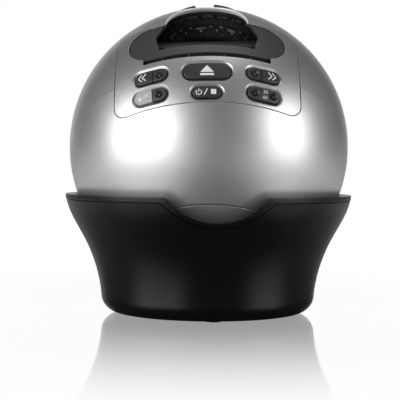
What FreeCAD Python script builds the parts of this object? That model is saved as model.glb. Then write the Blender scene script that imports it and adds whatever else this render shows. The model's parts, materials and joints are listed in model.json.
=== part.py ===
import FreeCAD, Part
import math
import os

# Home planetarium projector: a 150 mm ball that rests in a flared stand.
# Millimetres, +Z up, origin on the table under the stand's axis.
# The ball is modelled upright about its own centre (lens axis +Z, key panel
# towards -Y) and then leaned back, turned and set into the stand.

V = FreeCAD.Vector

# Ball and its rest attitude in the stand
BALL_R = 75.0
WALL = 2.4
BALL_IN = BALL_R - WALL
CENTRE_H = 89.4
REST_TILT = 33.35
REST_TURN = -4.3
REST_ROLL = -1.16
SEAM = 0.35

# Horizontal seams of the ball
PARTING_Z = -3.3
CAP_Z = -61.9
LAP_DEPTH = 3.6

# Key panel, seen from the front
PANEL_HALF = 46.5
PANEL_LOW = -21.2
PANEL_TOP = 36.0
PANEL_R_LOW = 7.0
PANEL_R_TOP = 11.0

# Dark bezel round the dial window
BEZEL_R = 74.5
BEZEL_HALF = 39.6
BEZEL_LOW = 7.2
BEZEL_TOP = 33.0
BEZEL_END_R = 12.2
LIP_Z = 12.5
WINDOW_LOW_HALF = 24.0
WINDOW_MID_HALF = 26.2
WINDOW_MID_Z = 23.3
HUMP_HALF = 21.5
HUMP_RISE = 24.0

# Slot for the star disc tray
SLOT_HALF = 32.0
SLOT_LOW = 4.2
TRAY_LOW = 4.7
TRAY_TOP = 6.5
TRAY_HALF = 31.2
TRAY_REAR = 60.0
TRAY_TRAVEL = 100.0

# Gears of the disc drive and of the tray drive
MODULE = 0.8
DISC_TEETH = 72
PINION_TEETH = 12
PITCH = math.pi * MODULE
DISC_PITCH_R = MODULE * DISC_TEETH / 2
PINION_PITCH_R = MODULE * PINION_TEETH / 2
RACK_X = TRAY_HALF - MODULE
TRAY_PINION_Y = -41.0
SHAFT_R = 1.5

# Decks inside the ball
DECK_LOW = 8.4
DECK_TOP = 10.4
DECK_R = 68.5
FLOOR_LOW = -8.0
FLOOR_TOP = -6.0
FLOOR_R = 66.0

# Dial rings and lens on the lens axis
DIAL_TOP_R = 31.5
DIAL_TOP_Z = 66.6
DIAL_MID_R = 31.9
DIAL_MID_Z = 58.8
GRIP_R = 34.6
GRIP_LOW = 49.4
GRIP_TOP = 51.6
GRIP_COUNT = 30
GUIDE_R = 24.0
GUIDE_BORE = 20.0
BARREL_R = 19.94
RING_R = 26.65
RING_TOP = 78.05
RING_FLOOR = 72.0
RING_LOBES = 6
RING_GAP = 24.0
RING_PHASE = -93.5
SKIRT_R = 22.8

# Keys: name, centre x and z on the ball, length, height
ROW_TOP = -3.9
ROW_LOW = -14.8
SIDE_X = 28.2
SIDE_L = 17.2
SIDE_W = 6.8
EJECT = (0.1, -4.7, 23.4, 8.9)
POWER = (-0.1, -16.4, 14.2, 5.9)
DIVIDER = 1.4
LED_OFF = 4.8
KEY_GAP = 0.35
KEY_TRAVEL = 0.6
KEY_CROWN = 75.35
KEY_UNDER = 71.0
CHAMFER = 1.3

# Stand
RIM_H = 63.9
LIP_BAND = 2.5
LIP_BEAD = 0.25
FLARE = [(57.6, 10.0), (60.0, 23.0), (65.0, 36.6), (71.0, 47.8), (75.2, 56.3), (76.7, 62.0)]
FOOT_PROUD = 0.6
BOTTOM_R = 9.4
SKIN = 2.6
SEAT_R = 75.6
NOTCH_HALF = 27.5
NOTCH_LOW = 51.4
NOTCH_SLOPE = 39.0
CUP_HOLE_R = 36.0


def cylinder(r, z0, z1, x=0.0, y=0.0):
    return Part.makeCylinder(r, z1 - z0, V(x, y, z0))


def tube(r_out, r_in, z0, z1, x=0.0, y=0.0):
    return cylinder(r_out, z0, z1, x, y).cut(cylinder(r_in, z0 - 1, z1 + 1, x, y))


def block(x0, x1, y0, y1, z0, z1):
    return Part.makeBox(x1 - x0, y1 - y0, z1 - z0, V(x0, y0, z0))


def revolve(points):
    """Turn a closed (radius, height) outline about the Z axis."""
    corners = [V(r, 0, z) for r, z in points]
    face = Part.Face(Part.makePolygon(corners + corners[:1]))
    return face.revolve(V(0, 0, 0), V(0, 0, 1), 360)


def ball_shell(r_out, r_in):
    return Part.makeSphere(r_out).cut(Part.makeSphere(r_in))


def slab(z0, z1):
    return block(-90, 90, -90, 90, z0, z1)


def rounded_wire(x0, x1, y0, y1, r_low, r_top):
    """Closed rounded rectangle in the XY plane."""
    corners = [(x0, y0, r_low, 180), (x1, y0, r_low, 270), (x1, y1, r_top, 0), (x0, y1, r_top, 90)]
    arcs = []
    for x, y, r, start in corners:
        cx = x + r if x == x0 else x - r
        cy = y + r if y == y0 else y - r
        turn = [math.radians(start + a) for a in (0, 45, 90)]
        arcs.append([V(cx + r * math.cos(a), cy + r * math.sin(a), 0) for a in turn])
    edges = []
    for i, arc in enumerate(arcs):
        edges.append(Part.Arc(*arc).toShape())
        following = arcs[(i + 1) % 4][0]
        if arc[2].distanceToPoint(following) > 1e-6:
            edges.append(Part.LineSegment(arc[2], following).toShape())
    return Part.Wire(Part.__sortEdges__(edges))


def prism(wire, z0, z1):
    face = Part.Face(wire)
    face.translate(V(0, 0, z0))
    return face.extrude(V(0, 0, z1 - z0))


def towards_front(shape):
    """Stand a shape drawn in XY upright, its +Z looking towards the front."""
    turned = shape.copy()
    turned.rotate(V(0, 0, 0), V(1, 0, 0), 90)
    return turned


def front_prism(x0, x1, z0, z1, r_low, r_top):
    return towards_front(prism(rounded_wire(x0, x1, z0, z1, r_low, r_top), 10, 90))


def polygon_prism(points, z0, z1):
    corners = [V(x, y, 0) for x, y in points]
    return prism(Part.makePolygon(corners + corners[:1]), z0, z1)


def gear_points(teeth, phase):
    """Outline of a spur gear with thin straight-sided teeth."""
    pitch_r = MODULE * teeth / 2
    step = 2 * math.pi / teeth
    points = []
    for i in range(teeth):
        middle = phase + i * step
        for r, share in ((pitch_r - 1.2 * MODULE, -0.28), (pitch_r + 0.9 * MODULE, -0.11),
                         (pitch_r + 0.9 * MODULE, 0.11), (pitch_r - 1.2 * MODULE, 0.28)):
            angle = middle + share * step
            points.append((r * math.cos(angle), r * math.sin(angle)))
    return points


def key_frame(x, z):
    """Turn that takes local +Z to the ball's surface normal at front point (x, z)."""
    out = V(x, -math.sqrt(BALL_R ** 2 - x * x - z * z), z).normalize()
    up = V(0, 0, 1)
    across = up.cross(out).normalize()
    rise = out.cross(across)
    return FreeCAD.Placement(V(0, 0, 0), FreeCAD.Rotation(across, rise, out, "ZXY"))


def on_ball(shape, x, z):
    placed = shape.copy()
    placed.Placement = key_frame(x, z).multiply(placed.Placement)
    return placed


def pill_wire(length, height, grow=0.0):
    half_l = length / 2 + grow
    half_h = height / 2 + grow
    return rounded_wire(-half_l, half_l, -half_h, half_h, half_h, half_h)


def pill_hole(length, height):
    """Opening for a key, with the bright bevel round its mouth."""
    hole = prism(pill_wire(length, height, KEY_GAP), 60, 80)
    narrow = pill_wire(length, height, KEY_GAP)
    narrow.translate(V(0, 0, BALL_R - CHAMFER))
    wide = pill_wire(length, height, KEY_GAP + CHAMFER)
    wide.translate(V(0, 0, BALL_R + 0.1))
    return hole.fuse(Part.makeLoft([narrow, wide], True, True))


def pill_cap(length, height):
    """Crowned pill that fills a key opening, with its retaining flange."""
    crown = prism(pill_wire(length, height), 66, BALL_R + 2).common(ball_shell(KEY_CROWN, KEY_UNDER))
    rim = [e for e in crown.Edges if e.CenterOfMass.z > BALL_R - 0.9]
    crown = crown.makeFillet(0.45, rim)
    flange = prism(pill_wire(length, height, 0.9), 66, BALL_R).common(ball_shell(BALL_IN - 0.3, KEY_UNDER))
    return crown.fuse(flange).removeSplitter()


def led_dish(x):
    """Dish and hole through which an indicator light shows."""
    dish = revolve([(0, 60), (1.25, 60), (1.25, BALL_R - 1.1), (2.5, BALL_R + 0.5), (0, BALL_R + 0.5)])
    return at(dish, x, 0, 0)


def led(x):
    stem = cylinder(1.1, BALL_IN - 2.1, BALL_R - 1.5, x, 0)
    dome = Part.makeSphere(1.1, V(x, 0, BALL_R - 1.5))
    return stem.fuse(dome).removeSplitter()


def half_turn(shape):
    turned = shape.copy()
    turned.rotate(V(0, 0, 0), V(0, 0, 1), 180)
    return turned


def split_pill():
    """Key half (left) and fixed indicator half (right) of a pill on the left of the panel."""
    whole = pill_cap(SIDE_L, SIDE_W)
    key = whole.common(block(-20, DIVIDER - 0.2, -9, 9, 60, 80))
    cover = whole.common(block(DIVIDER + 0.2, 20, -9, 9, 60, 80)).cut(led_dish(LED_OFF))
    return key, cover


def timer_pill():
    """Whole pill with a light dish at each end."""
    cut_once = pill_cap(SIDE_L, SIDE_W).cut(led_dish(LED_OFF))
    return half_turn(cut_once).cut(led_dish(LED_OFF))


def panel_prism(grow):
    return front_prism(-PANEL_HALF - grow, PANEL_HALF + grow, PANEL_LOW - grow, PANEL_TOP + grow,
                       PANEL_R_LOW + grow, PANEL_R_TOP + grow)


def bezel_prism(grow):
    return front_prism(-BEZEL_HALF - grow, BEZEL_HALF + grow, BEZEL_LOW - grow, BEZEL_TOP + grow,
                       BEZEL_END_R + grow, BEZEL_END_R + grow)


def hump_prism(grow=0.0):
    """Arched top of the dial window, cut through panel and shell."""
    ellipse = Part.Ellipse(V(0, 0, 0), HUMP_RISE + grow, HUMP_HALF + grow).toShape()
    wire = Part.Wire([ellipse])
    wire.rotate(V(0, 0, 0), V(0, 0, 1), 90)
    wire.translate(V(0, BEZEL_TOP, 0))
    upper = prism(rounded_wire(-30, 30, BEZEL_TOP - 0.5, 80, 0.2, 0.2), 10, 90)
    return towards_front(prism(wire, 10, 90).common(upper))


def window_prism():
    points = [(-WINDOW_LOW_HALF, LIP_Z), (WINDOW_LOW_HALF, LIP_Z), (WINDOW_MID_HALF, WINDOW_MID_Z),
              (HUMP_HALF, BEZEL_TOP + 1), (-HUMP_HALF, BEZEL_TOP + 1), (-WINDOW_MID_HALF, WINDOW_MID_Z)]
    return towards_front(polygon_prism(points, 10, 90))


def make_upper_shell():
    shell = ball_shell(BALL_R, BALL_IN).common(slab(PARTING_Z + SEAM / 2, 80))
    lap = revolve([(BALL_IN - 2.2, PARTING_Z - LAP_DEPTH), (BALL_IN - 0.5, PARTING_Z - LAP_DEPTH),
                   (BALL_IN - 0.3, PARTING_Z + 0.4), (BALL_IN + 1.0, PARTING_Z + 0.4),
                   (BALL_IN + 1.0, PARTING_Z + 3.0), (BALL_IN - 2.2, PARTING_Z + 3.0)])
    lap = lap.cut(block(-PANEL_HALF - 3, PANEL_HALF + 3, -90, 0, -30, 30))
    shell = shell.fuse(lap.common(Part.makeSphere(BALL_IN + 0.3)))
    relief = cylinder(DIAL_TOP_R + 0.6, 58, 72).common(Part.makeSphere(BALL_R - 1.0))
    relief = relief.cut(cylinder(SKIRT_R + 3.5, 50, 80))
    shell = shell.cut(relief)
    shell = shell.cut(cylinder(SKIRT_R + 0.08, 60, 80))
    shell = shell.cut(panel_prism(SEAM)).cut(hump_prism())
    return shell.cut(jack_well())


def make_lower_shell():
    shell = ball_shell(BALL_R, BALL_IN).common(slab(CAP_Z + SEAM / 2, PARTING_Z - SEAM / 2))
    shell = shell.cut(panel_prism(SEAM))
    ledge = tube(BALL_IN + 0.1, FLOOR_R - 2, FLOOR_LOW - 2.0, FLOOR_LOW)
    ledge = ledge.common(Part.makeSphere(BALL_IN + 0.1))
    ledge = ledge.cut(block(-PANEL_HALF - 3, PANEL_HALF + 3, -90, 0, -30, 30))
    lap_rim = tube(48.0, 29.0, CAP_Z + 1.0, CAP_Z + 3.4).common(Part.makeSphere(BALL_IN + 0.3))
    shell = shell.fuse(ledge).fuse(lap_rim)
    for x, y in POSTS:
        post = cylinder(4.0, -60, FLOOR_LOW, x, y).common(Part.makeSphere(BALL_IN + 0.5))
        shell = shell.fuse(post.cut(cylinder(1.2, FLOOR_LOW - 12, FLOOR_LOW + 1, x, y)))
    for x, y in CAP_SCREWS:
        shell = shell.cut(cylinder(1.2, CAP_Z - 5, CAP_Z + 9, x, y))
    return shell.removeSplitter()


POSTS = [(sx * 40.0, sy * 32.0) for sx in (-1, 1) for sy in (-1, 1)]
PILLARS = [(sx * 46.0, sy * 22.0) for sx in (-1, 1) for sy in (-1, 1)]
CAP_SCREWS = [(33.0 * math.cos(math.radians(a)), 33.0 * math.sin(math.radians(a))) for a in (90, 210, 330)]
CAP_SEAT_Z = CAP_Z - 2.4
PLATE_SCREWS = [(39.5 * math.cos(math.radians(a)), 39.5 * math.sin(math.radians(a))) for a in (45, 135, 225, 315)]
FEET = [(43.5 * math.cos(math.radians(a)), 43.5 * math.sin(math.radians(a))) for a in (0, 90, 180, 270)]


def pan_screw(r_head, h_head, r_shank, length):
    """Screw with its head on the plane z = 0, the shank going down."""
    head = Part.makeCone(r_head, r_head * 0.72, h_head)
    slot = block(-r_head * 0.6, r_head * 0.6, -0.3, 0.3, h_head - 0.6, h_head + 1)
    cross = block(-0.3, 0.3, -r_head * 0.6, r_head * 0.6, h_head - 0.6, h_head + 1)
    shank = Part.makeCylinder(r_shank, length, V(0, 0, -length))
    return head.cut(slot).cut(cross).fuse(shank).removeSplitter()


def group(shapes):
    return Part.makeCompound(shapes)


def at(shape, x, y, z):
    moved = shape.copy()
    moved.translate(V(x, y, z))
    return moved


def make_bottom_cap():
    cap = ball_shell(BALL_R, BALL_IN).common(slab(-80, CAP_Z - SEAM / 2))
    for x, y in CAP_SCREWS:
        boss = cylinder(4.2, -72, CAP_Z + 0.9, x, y).common(Part.makeSphere(BALL_IN + 0.3))
        cap = cap.fuse(boss)
        cap = cap.cut(cylinder(3.2, -80, CAP_SEAT_Z, x, y)).cut(cylinder(1.4, -80, CAP_Z + 5, x, y))
    return cap.removeSplitter()


def make_control_panel():
    panel = ball_shell(BALL_R, BALL_IN).common(panel_prism(0.0))
    slot = front_prism(-SLOT_HALF, SLOT_HALF, SLOT_LOW, BEZEL_LOW + 2, 0.6, 0.6)
    panel = panel.cut(bezel_prism(0.3)).cut(slot).cut(hump_prism())
    for x, z, length, height in pill_places():
        panel = panel.cut(on_ball(pill_hole(length, height), x, z))
    return panel.removeSplitter()


def pill_places():
    sides = [(sx * SIDE_X, z, SIDE_L, SIDE_W) for sx in (-1, 1) for z in (ROW_TOP, ROW_LOW)]
    return [EJECT, POWER] + sides


def make_dial_bezel():
    bezel = ball_shell(BEZEL_R, BEZEL_R - 2.2).common(bezel_prism(0.0))
    return bezel.cut(window_prism()).cut(hump_prism()).removeSplitter()


def make_window_liner():
    """Dark well behind the window: a sloping floor and two cheeks."""
    front_y, back_y = -72.2, -37.5
    low_z, high_z = LIP_Z - 0.1, 43.0
    floor = [(front_y, low_z), (back_y, high_z), (back_y, high_z - 1.6), (front_y, low_z - 1.6)]
    cheek = [(front_y, low_z), (front_y, BEZEL_TOP), (-50.0, 56.0), (back_y, 56.0), (back_y, high_z)]
    width = WINDOW_MID_HALF + 0.6

    def side_view(points, x0, x1):
        corners = [V(x0, y, z) for y, z in points]
        return Part.Face(Part.makePolygon(corners + corners[:1])).extrude(V(x1 - x0, 0, 0))

    liner = side_view(floor, -width - 1.3, width + 1.3)
    for sx in (-1, 1):
        inner, outer = sorted((sx * width, sx * (width + 1.3)))
        liner = liner.fuse(side_view(cheek, inner, outer))
    limit = Part.makeSphere(BEZEL_R - 2.25)
    return liner.common(limit).removeSplitter()


def make_time_ring():
    return revolve([(22.1, 57.4), (28.6, 57.4), (28.6, DIAL_MID_Z), (DIAL_MID_R, DIAL_MID_Z),
                    (DIAL_TOP_R, DIAL_TOP_Z), (DIAL_TOP_R - 1.4, DIAL_TOP_Z), (DIAL_TOP_R - 1.4, 60.4),
                    (22.1, 59.0)])


def make_date_ring():
    body = revolve([(GUIDE_R + 0.06, 51.0), (26.0, 51.0), (26.0, 53.4), (30.4, 53.4), (30.4, GRIP_LOW),
                    (33.2, GRIP_LOW), (33.6, GRIP_TOP), (32.9, 52.6), (32.1, DIAL_MID_Z - 0.4),
                    (30.4, DIAL_MID_Z - 0.4), (30.4, 55.2), (26.0, 55.2), (26.0, 57.0), (GUIDE_R + 0.06, 57.0)])
    step = 2 * math.pi / GRIP_COUNT
    grip = []
    for i in range(GRIP_COUNT):
        for r, share in ((GRIP_R - 0.9, -0.36), (GRIP_R, -0.2), (GRIP_R, 0.2), (GRIP_R - 0.9, 0.36)):
            angle = (i + share) * step
            grip.append((r * math.cos(angle), r * math.sin(angle)))
    edge = polygon_prism(grip, GRIP_LOW + 0.3, GRIP_TOP).cut(cylinder(32.0, 40, 60))
    return body.fuse(edge).removeSplitter()


def make_lens_guide():
    guide = revolve([(GUIDE_BORE, DECK_TOP), (23.3, DECK_TOP), (23.3, DECK_TOP + 2), (22.0, DECK_TOP + 4),
                     (22.0, 46.0), (27.0, 48.0), (27.0, 50.7), (GUIDE_R, 50.7), (GUIDE_R, 57.2),
                     (22.0, 57.2), (22.0, 62.0), (GUIDE_BORE, 62.0)])
    return guide


def make_focus_ring():
    ring = revolve([(20.4, 63.0), (SKIRT_R, 63.0), (SKIRT_R, 71.9), (24.0, 71.7), (RING_R, 70.7),
                    (RING_R, 77.2), (RING_R - 0.7, RING_TOP), (22.6, RING_TOP), (21.6, 76.0), (20.4, 76.0)])
    step = 360.0 / RING_LOBES
    for i in range(RING_LOBES):
        gap = Part.makeCylinder(RING_R + 2, 10, V(0, 0, RING_FLOOR), V(0, 0, 1), RING_GAP)
        gap.rotate(V(0, 0, 0), V(0, 0, 1), RING_PHASE - RING_GAP / 2 + i * step)
        ring = ring.cut(gap)
    return ring.removeSplitter()


def make_lens_barrel():
    return revolve([(16.6, 38.0), (BARREL_R, 38.0), (BARREL_R, 74.6), (19.2, 75.4), (18.6, 75.4),
                    (18.6, 69.0), (16.6, 69.0), (16.6, 46.6), (14.6, 46.6), (14.6, 45.0), (16.6, 45.0)])


def make_lens(r, z, thickness, sag_up, sag_down):
    """Round glass with two spherical faces; each sag is the rise of that face."""
    blank = cylinder(r, z - thickness, z + thickness)
    for sag, side in ((sag_up, 1), (sag_down, -1)):
        radius = (r * r + sag * sag) / (2 * sag)
        centre = z + side * (thickness / 2 + sag - radius)
        blank = blank.common(Part.makeSphere(radius, V(0, 0, centre)))
    return blank


def make_disc_tray():
    """Drawer with a round seat for the disc, two long rails and a rack on the right edge."""
    plate = block(-TRAY_HALF, TRAY_HALF, -76, TRAY_REAR, TRAY_LOW, TRAY_TOP)
    plate = plate.cut(block(-24, 24, 24, 90, 0, 10))
    plate = plate.cut(cylinder(30.0, TRAY_LOW + 0.5, 10)).cut(cylinder(27.2, 0, 10))
    teeth = int((TRAY_REAR - TRAY_PINION_Y) / PITCH) + 1
    for i in range(-2, teeth):
        y = TRAY_PINION_Y + PITCH * i
        gap = [(TRAY_HALF + 0.2, y + 0.88), (TRAY_HALF - 1.8, y + 0.46),
               (TRAY_HALF - 1.8, y - 0.46), (TRAY_HALF + 0.2, y - 0.88)]
        plate = plate.cut(polygon_prism(gap, 0, 10))
    front = Part.makeSphere(BALL_R - 1.9)
    tray = plate.common(front.fuse(block(-80, 80, 0, 90, 0, 10)))
    for x in (-22.0, -9.0, 9.0, 22.0):
        rib = block(x - 0.6, x + 0.6, -76, -66, TRAY_LOW - 0.3, TRAY_TOP + 0.3)
        tray = tray.fuse(rib.common(Part.makeSphere(BALL_R - 1.0)))
    return tray.removeSplitter()


def make_disc_gear():
    gear = polygon_prism(gear_points(DISC_TEETH, math.pi / 2), TRAY_LOW + 0.6, TRAY_TOP + 0.1)
    return gear.cut(cylinder(26.0, 0, 10)).cut(cylinder(27.0, TRAY_TOP - 0.6, 10))


def make_star_disc():
    disc = cylinder(26.9, TRAY_TOP - 0.6, TRAY_TOP)
    return disc.cut(cylinder(2.0, 0, 10, 0, 24.0))


def make_pinion(x, y, phase):
    gear = polygon_prism(gear_points(PINION_TEETH, phase), TRAY_LOW - 0.1, TRAY_TOP + 0.3)
    shaft = cylinder(SHAFT_R, TRAY_LOW - 1.2, DECK_TOP + 0.8)
    return at(gear.fuse(shaft).removeSplitter(), x, y, 0)


def make_motor(x, y, r, top):
    can = cylinder(r, DECK_TOP + 1.2, top, x, y)
    ears = block(x - r - 4, x + r + 4, y - 3, y + 3, DECK_TOP, DECK_TOP + 1.2)
    boss = cylinder(3.0, top, top + 2.0, x, y)
    body = can.fuse(ears).fuse(boss).removeSplitter()
    return body.cut(cylinder(SHAFT_R + 0.06, 0, DECK_TOP + 1.0, x, y))


def make_upper_deck():
    deck = cylinder(DECK_R, DECK_LOW, DECK_TOP)
    deck = deck.cut(cylinder(GUIDE_BORE, 0, 20)).cut(block(-7, 7, 58, 80, 0, 20))
    deck = deck.cut(cylinder(SHAFT_R + 0.06, 0, 20, 0, DISC_PITCH_R + PINION_PITCH_R))
    deck = deck.cut(cylinder(SHAFT_R + 0.06, 0, 20, RACK_X + PINION_PITCH_R, TRAY_PINION_Y))
    for x, y in PILLARS:
        deck = deck.cut(cylinder(1.4, 0, 20, x, y))
    return deck


def make_lower_deck():
    deck = cylinder(FLOOR_R, FLOOR_LOW, FLOOR_TOP).cut(cylinder(24.2, -20, 20))
    for x, y in POSTS:
        deck = deck.cut(cylinder(1.4, -20, 20, x, y))
    for x, y in BOARD_HOLES:
        deck = deck.fuse(cylinder(2.4, FLOOR_LOW - 3, FLOOR_LOW, x, y))
    return deck.removeSplitter()


BOARD_HOLES = [(sx * 22.0, y) for sx in (-1, 1) for y in (32.0, 54.0)]


def make_main_board():
    board = block(-30, 30, 28, 58, FLOOR_LOW - 4.6, FLOOR_LOW - 3)
    chips = block(-9, 5, 36, 48, FLOOR_LOW - 6.6, FLOOR_LOW - 4.6)
    can = cylinder(4.0, FLOOR_LOW - 15, FLOOR_LOW - 4.6, 14, 43)
    return board.fuse(chips).fuse(can).removeSplitter()


def make_tray_guides():
    """Edge channels that carry the tray, with a gap on the right for its pinion."""
    guides = []
    for sx in (-1, 1):
        for y0, y1 in ((-60, -48), (-33, 50)):
            wall = block(TRAY_HALF + 0.3, TRAY_HALF + 3.3, y0, y1, 3.2, DECK_LOW)
            ledge = block(TRAY_HALF - 1.4, TRAY_HALF + 0.3, y0, y1, 3.2, TRAY_LOW - 0.25)
            guide = wall.fuse(ledge).removeSplitter()
            if sx < 0:
                guide = guide.mirror(V(0, 0, 0), V(1, 0, 0))
            guides.append(guide)
    return group(guides)


def make_deck_pillars():
    return group([tube(3.4, 1.2, FLOOR_TOP, DECK_LOW, x, y) for x, y in PILLARS])


def make_chassis_screws():
    screw = pan_screw(2.8, 1.6, 1.15, 8.0)
    upper = [at(screw, x, y, DECK_TOP) for x, y in PILLARS]
    lower = [at(screw, x, y, FLOOR_TOP) for x, y in POSTS]
    return group(upper + lower)


def make_lamp_tube():
    return revolve([(21.8, -36.0), (24.0, -36.0), (24.0, FLOOR_TOP), (28.0, FLOOR_TOP),
                    (28.0, FLOOR_TOP + 1.6), (24.0, FLOOR_TOP + 1.6), (24.0, 2.4), (20.0, 2.4), (20.0, 1.0),
                    (21.8, 1.0)])


def make_lamp_led():
    base = cylinder(10.0, -36.0, -34.4)
    dome = Part.makeSphere(3.2, V(0, 0, -34.4)).common(slab(-34.5, 0))
    return base.fuse(dome).removeSplitter()


def make_heat_sink():
    sink = cylinder(23.6, -39.0, -36.0)
    for i in range(-4, 5):
        fin = block(i * 4.8 - 0.8, i * 4.8 + 0.8, -23.6, 23.6, -53.0, -38.5)
        sink = sink.fuse(fin.common(cylinder(23.6, -60, -30)))
    return sink.removeSplitter()


JACK_Z = 14.0


def jack_axis():
    return V(0, math.sqrt(BALL_R ** 2 - JACK_Z ** 2), JACK_Z).normalize()


def along_jack(r, d0, d1):
    axis = jack_axis()
    return Part.makeCylinder(r, d1 - d0, axis * d0, axis)


def jack_well():
    return along_jack(6.0, BALL_R - 1.4, BALL_R + 5).fuse(along_jack(4.6, 60, BALL_R))


def make_power_inlet():
    body = along_jack(4.5, BALL_R - 14.0, BALL_R - 0.9)
    flange = along_jack(5.8, BALL_IN - 1.6, BALL_IN - 0.4)
    hollow = along_jack(2.8, BALL_R - 10.5, BALL_R)
    pin = along_jack(1.0, BALL_R - 11.0, BALL_R - 1.8)
    return body.fuse(flange).cut(hollow).fuse(pin).removeSplitter()


def make_keypad_mat():
    mat = ball_shell(70.2, 68.8)
    field = front_prism(-40, 40, -20.2, 1.6, 3.0, 1.0)
    return mat.common(field)


# Stand


def flare_solid(offset, low):
    """Solid of revolution inside the flared skin, drawn in by the offset."""
    curve = Part.BSplineCurve()
    curve.interpolate([V(r + offset, 0, z) for r, z in FLARE])
    start = FLARE[0]
    end = FLARE[-1]
    r = max(BOTTOM_R + offset, 1.0)
    centre = V(start[0] - BOTTOM_R, 0, low + BOTTOM_R)
    bend = [centre + V(r * math.cos(a), 0, -r * math.sin(a)) for a in (0, math.pi / 4, math.pi / 2)]
    path = [V(0, 0, bend[2].z), bend[2]]
    edges = [Part.LineSegment(*path).toShape(), Part.Arc(bend[2], bend[1], bend[0]).toShape()]
    first = V(start[0] + offset, 0, start[1])
    if bend[0].distanceToPoint(first) > 1e-6:
        edges.append(Part.LineSegment(bend[0], first).toShape())
    edges.append(curve.toShape())
    top = V(end[0] + offset + 0.3, 0, 70)
    edges.append(Part.LineSegment(V(end[0] + offset, 0, end[1]), top).toShape())
    edges.append(Part.LineSegment(top, V(0, 0, 70)).toShape())
    edges.append(Part.LineSegment(V(0, 0, 70), path[0]).toShape())
    face = Part.Face(Part.Wire(Part.__sortEdges__(edges)))
    return face.revolve(V(0, 0, 0), V(0, 0, 1), 360)


def above_rim(drop):
    """Everything above the rim line, which dips in a notch at front and rear."""
    slope = math.radians(NOTCH_SLOPE)
    depth = RIM_H - NOTCH_LOW
    half = (NOTCH_HALF * math.tan(slope) - depth) / (math.tan(slope) - (1 - math.cos(slope)) / math.sin(slope))
    bend_r = half / math.sin(slope)
    join_z = NOTCH_LOW + bend_r * (1 - math.cos(slope))
    left = V(-half, 0, join_z)
    right = V(half, 0, join_z)
    edges = [Part.LineSegment(V(-100, 0, RIM_H), V(-NOTCH_HALF, 0, RIM_H)).toShape(),
             Part.LineSegment(V(-NOTCH_HALF, 0, RIM_H), left).toShape(),
             Part.Arc(left, V(0, 0, NOTCH_LOW), right).toShape(),
             Part.LineSegment(right, V(NOTCH_HALF, 0, RIM_H)).toShape(),
             Part.LineSegment(V(NOTCH_HALF, 0, RIM_H), V(100, 0, RIM_H)).toShape(),
             Part.LineSegment(V(100, 0, RIM_H), V(100, 0, 120)).toShape(),
             Part.LineSegment(V(100, 0, 120), V(-100, 0, 120)).toShape(),
             Part.LineSegment(V(-100, 0, 120), V(-100, 0, RIM_H)).toShape()]
    wire = Part.Wire(edges)
    if drop > 0:
        wire = wire.makeOffset2D(drop)
    face = Part.Face(wire)
    face.translate(V(0, -90, 0))
    return face.extrude(V(0, 180, 0))


def seat_ball(r):
    return Part.makeSphere(r, V(0, 0, CENTRE_H))


def make_stand_shell():
    skin = flare_solid(0.0, FOOT_PROUD).cut(flare_solid(-SKIN, FOOT_PROUD))
    skin = skin.cut(cylinder(FLARE[0][0] - BOTTOM_R, -1, 20))
    return skin.cut(above_rim(LIP_BAND + 0.3)).cut(seat_ball(SEAT_R + 0.3))


def make_cradle_cup():
    bowl = seat_ball(SEAT_R + 2.6).cut(seat_ball(SEAT_R)).common(flare_solid(-SKIN - 0.2, FOOT_PROUD))
    bowl = bowl.common(slab(0, RIM_H)).cut(cylinder(CUP_HOLE_R, 0, 60))
    thick = flare_solid(LIP_BEAD, FOOT_PROUD).cut(seat_ball(SEAT_R)).common(slab(40, 70))
    lip = thick.common(above_rim(LIP_BAND)).cut(above_rim(0.0))
    web = flare_solid(-SKIN - 0.2, FOOT_PROUD).cut(seat_ball(SEAT_R)).common(slab(RIM_H - 17, RIM_H))
    cup = bowl.cut(above_rim(0.0)).fuse(web.cut(above_rim(0.0))).fuse(lip)
    skirt = tube(43.0, 36.0, FOOT_PROUD + 2.7, 40).cut(seat_ball(SEAT_R))
    cup = cup.fuse(skirt)
    groove = seat_ball(SEAT_R + 1.4).common(seat_zone(1.0))
    cup = cup.cut(groove)
    for x, y in PLATE_SCREWS:
        cup = cup.cut(cylinder(1.2, 0, 16, x, y))
    return cup.removeSplitter()


def seat_zone(grow):
    """Ring-shaped zone of the cup where the glide ring lies."""
    return tube(53.0 + grow, 45.5 - grow, 0, CENTRE_H)


def make_glide_ring():
    return seat_ball(SEAT_R + 1.1).cut(seat_ball(BALL_R + 0.3)).common(seat_zone(0.0)).common(slab(0, 60))


def make_base_plate():
    plate = cylinder(FLARE[0][0] - BOTTOM_R - 0.3, FOOT_PROUD, FOOT_PROUD + 2.4)
    for x, y in PLATE_SCREWS:
        plate = plate.cut(cylinder(1.4, 0, 9, x, y)).cut(cylinder(3.2, 0, FOOT_PROUD + 1.3, x, y))
    for x, y in FEET:
        plate = plate.cut(cylinder(4.2, 0, FOOT_PROUD + 0.8, x, y))
    return plate


def make_rubber_feet():
    pads = []
    for x, y in FEET:
        pad = cylinder(4.2, 0, FOOT_PROUD + 0.8, x, y)
        low = [e for e in pad.Edges if e.CenterOfMass.z < 0.01 and e.Length > 20]
        pads.append(pad.makeChamfer(0.3, low))
    return group(pads)


def make_plate_screws():
    screw = pan_screw(2.7, 1.2, 1.15, 9.0)
    screw.rotate(V(0, 0, 0), V(1, 0, 0), 180)
    return group([at(screw, x, y, FOOT_PROUD + 1.3) for x, y in PLATE_SCREWS])


def make_cap_screws():
    screw = pan_screw(2.7, 1.2, 1.15, 8.0)
    screw.rotate(V(0, 0, 0), V(1, 0, 0), 180)
    return group([at(screw, x, y, CAP_SEAT_Z) for x, y in CAP_SCREWS])


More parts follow.
